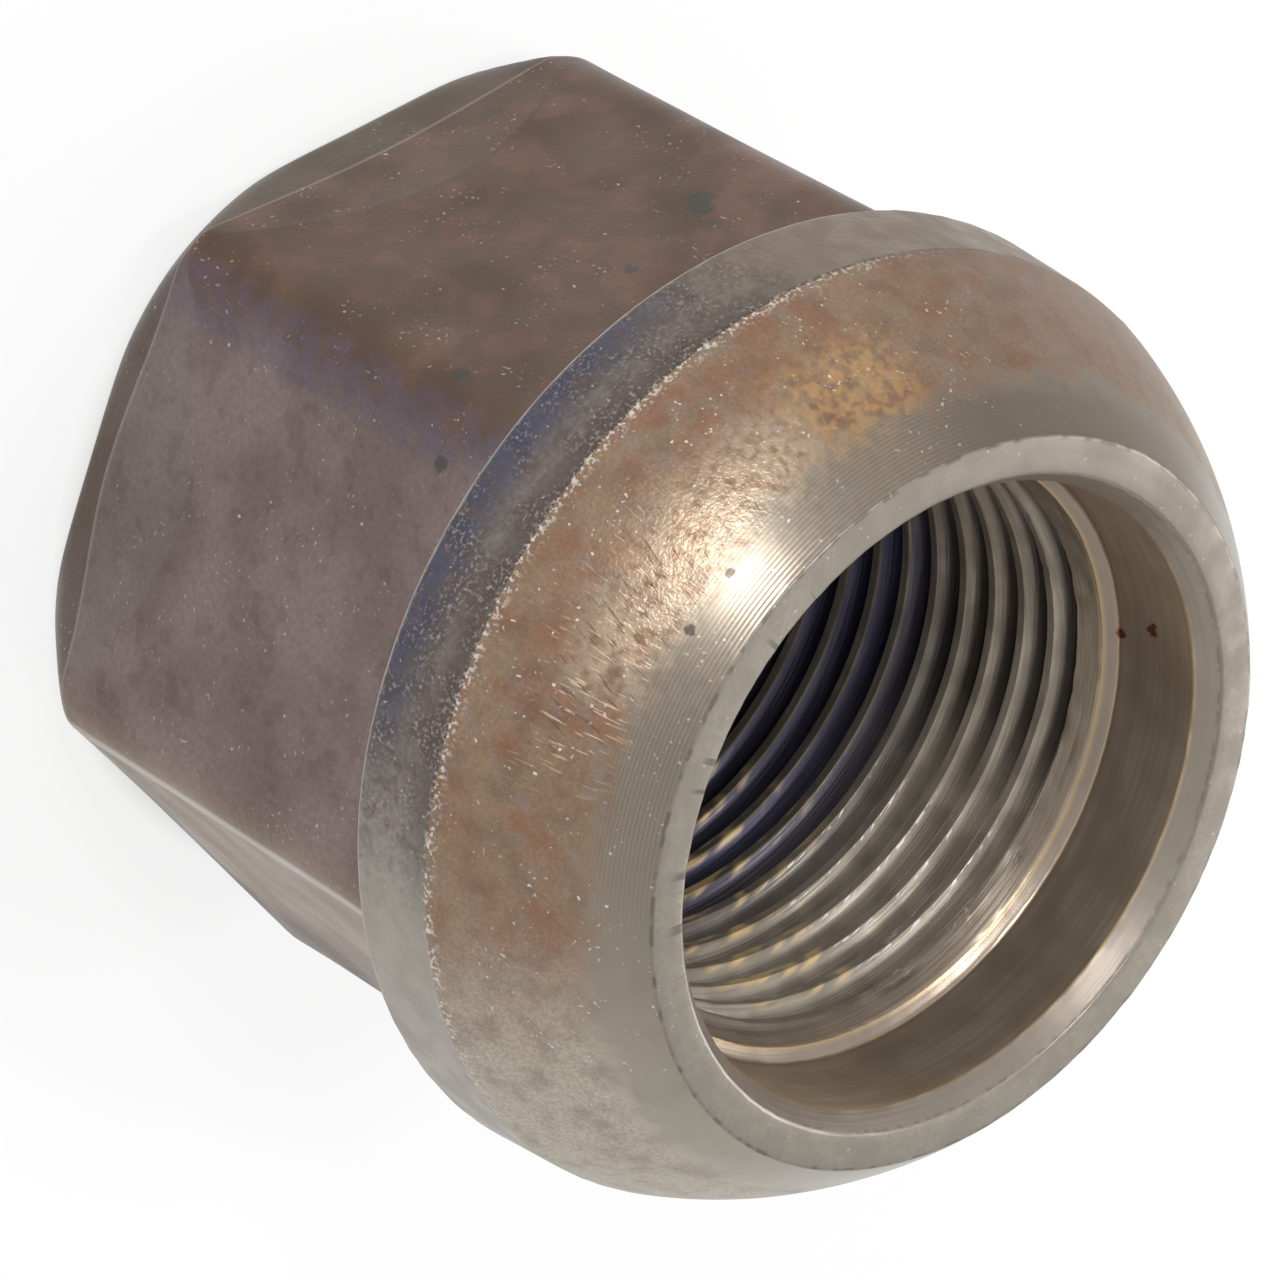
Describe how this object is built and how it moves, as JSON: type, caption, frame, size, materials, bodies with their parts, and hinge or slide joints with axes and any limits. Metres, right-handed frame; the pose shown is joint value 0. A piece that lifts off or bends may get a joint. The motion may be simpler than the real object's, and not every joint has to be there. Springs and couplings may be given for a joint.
{
  "type": "lug nut",
  "caption": "Open-end steel lug nut: rounded hex body, round collar with a ball seat, counterbored mouth and a threaded bore that clamps a wheel on its stud.",
  "frame": {"origin": "centre of the thread's axis on the flat face of the hex end, which the nut stands on", "axes": "+Z along the thread's axis, out of the mouth at the ball seat; corners of the hex on +X and -X, flats square to Y"},
  "size_m": [0.0346, 0.0346, 0.03],
  "materials": {
    "steel": "worn brown oxide over forged and turned steel"
  },
  "bodies": {
    "root": {"lug_nut": "steel"}
  },
  "joints": []
}
